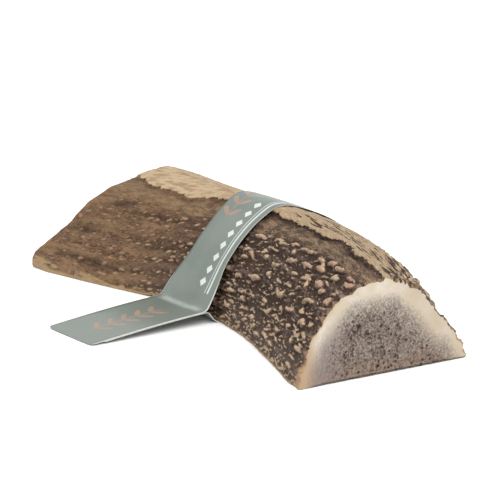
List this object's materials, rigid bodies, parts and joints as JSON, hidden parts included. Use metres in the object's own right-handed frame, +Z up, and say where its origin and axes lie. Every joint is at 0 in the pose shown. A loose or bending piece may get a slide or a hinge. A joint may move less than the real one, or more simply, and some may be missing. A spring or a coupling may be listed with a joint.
{
  "type": "deer antler piece with paper label",
  "caption": "Length of deer antler beam, split lengthwise to lie flat and sawn across at both ends, with a thin card strip wrapped round it as a label.",
  "frame": {"origin": "middle of the footprint of the whole part, on the ground", "axes": "+X along the beam towards the sawn near end, +Z up from the flat split face, -Y to the side where the label's tab lies"},
  "size_m": [0.1054, 0.0798, 0.0219],
  "materials": {
    "antler": null,
    "label_card": "sage green satin card, paler core at the cut edges"
  },
  "bodies": {
    "root": {"antler": "antler", "label": "label_card"}
  },
  "joints": []
}
